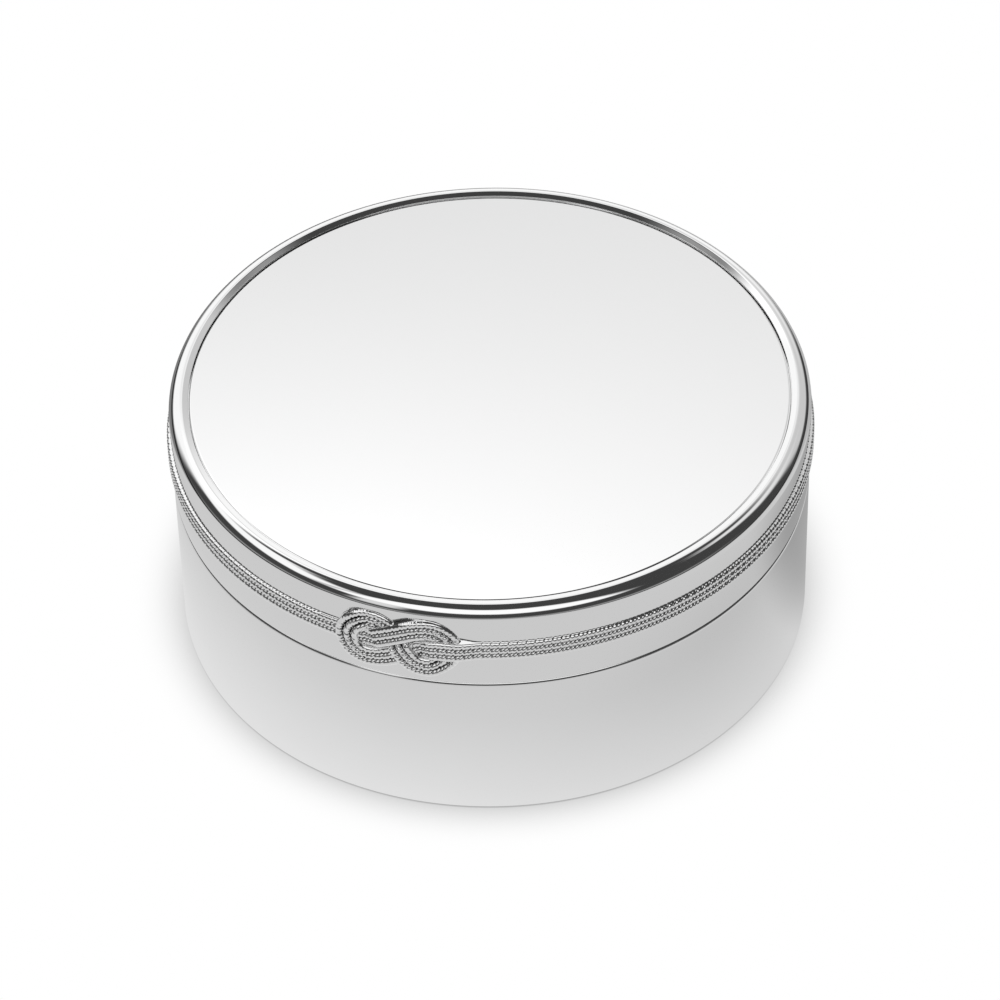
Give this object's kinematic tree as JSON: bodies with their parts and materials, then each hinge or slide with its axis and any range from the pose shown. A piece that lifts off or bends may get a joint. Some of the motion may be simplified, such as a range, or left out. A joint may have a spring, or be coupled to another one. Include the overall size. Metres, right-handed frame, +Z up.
{
  "type": "keepsake box",
  "caption": "Round plated-metal keepsake box with a lift-off lid, a rope band tied in a love knot at the front, a polished lid panel and a velvet lining.",
  "frame": {"origin": "centre of the box on the underside of the felt pad, where it stands", "axes": "+Z up along the box's axis and the way the lid lifts, -Y towards the front where the love knot is, +X to the right seen from the front"},
  "size_m": [0.1314, 0.1324, 0.0545],
  "materials": {
    "silver_plate": "bright silver plate, polished",
    "polished_plate": "mirror-polished silver plate",
    "rope_plate": "silver plate, bright on the ridges and dark in the grooves",
    "velvet": "black velvet, guessed",
    "felt": "black felt, guessed"
  },
  "bodies": {
    "base": {"base_wall": "silver_plate", "base_floor": "silver_plate", "base_felt": "felt", "base_collar": "silver_plate", "floor_lining": "velvet", "wall_lining": "velvet"},
    "lid": {"lid_skirt": "silver_plate", "lid_rim": "silver_plate", "lid_panel": "polished_plate", "lid_lining": "velvet", "rope_upper": "rope_plate", "rope_middle": "rope_plate", "rope_lower": "rope_plate", "knot_upper": "rope_plate", "knot_middle": "rope_plate", "knot_lower": "rope_plate"}
  },
  "joints": [
    {"name": "lid_lift", "type": "slide", "parent": "base", "child": "lid", "axis": [0, 0, 1], "range_m": [0, 0.06]}
  ]
}
